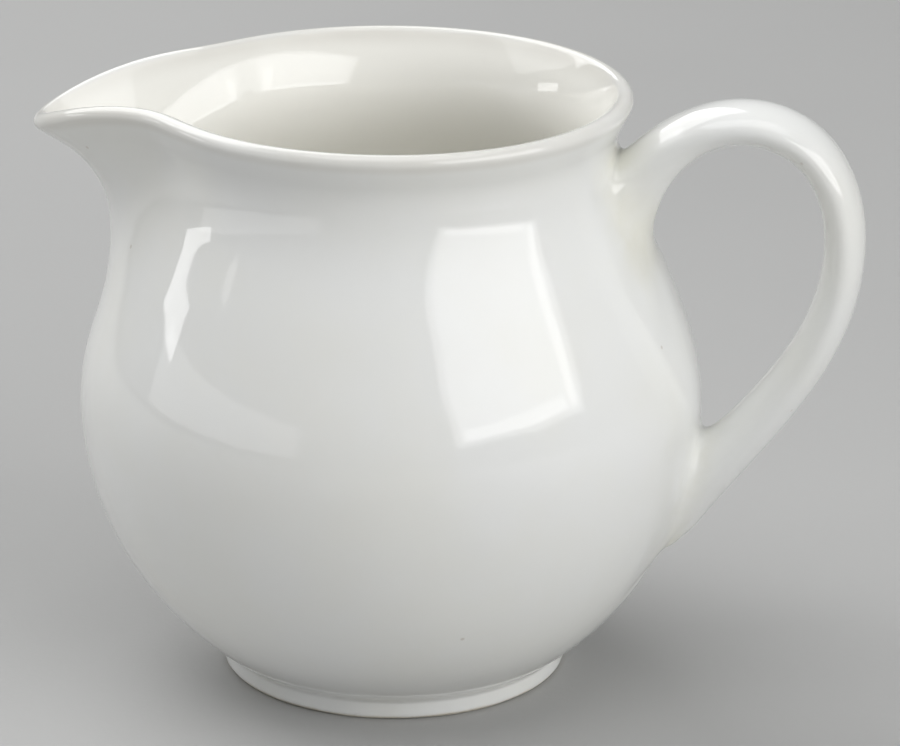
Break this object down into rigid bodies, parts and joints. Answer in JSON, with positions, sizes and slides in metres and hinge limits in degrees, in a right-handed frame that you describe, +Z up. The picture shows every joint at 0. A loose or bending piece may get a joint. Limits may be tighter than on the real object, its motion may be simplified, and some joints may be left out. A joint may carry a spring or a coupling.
{
  "type": "creamer jug",
  "caption": "Small round-bellied jug in white glazed porcelain with a flared lip, a pulled pouring spout, a strap handle and a foot ring.",
  "frame": {"origin": "centre of the foot ring, on the plane it rests on", "axes": "+Z up, +X towards the handle, -X towards the spout, mirrored about the XZ plane"},
  "size_m": [0.1188, 0.0896, 0.0862],
  "materials": {
    "glaze": "gloss"
  },
  "bodies": {
    "root": {"creamer": "glaze"}
  },
  "joints": []
}
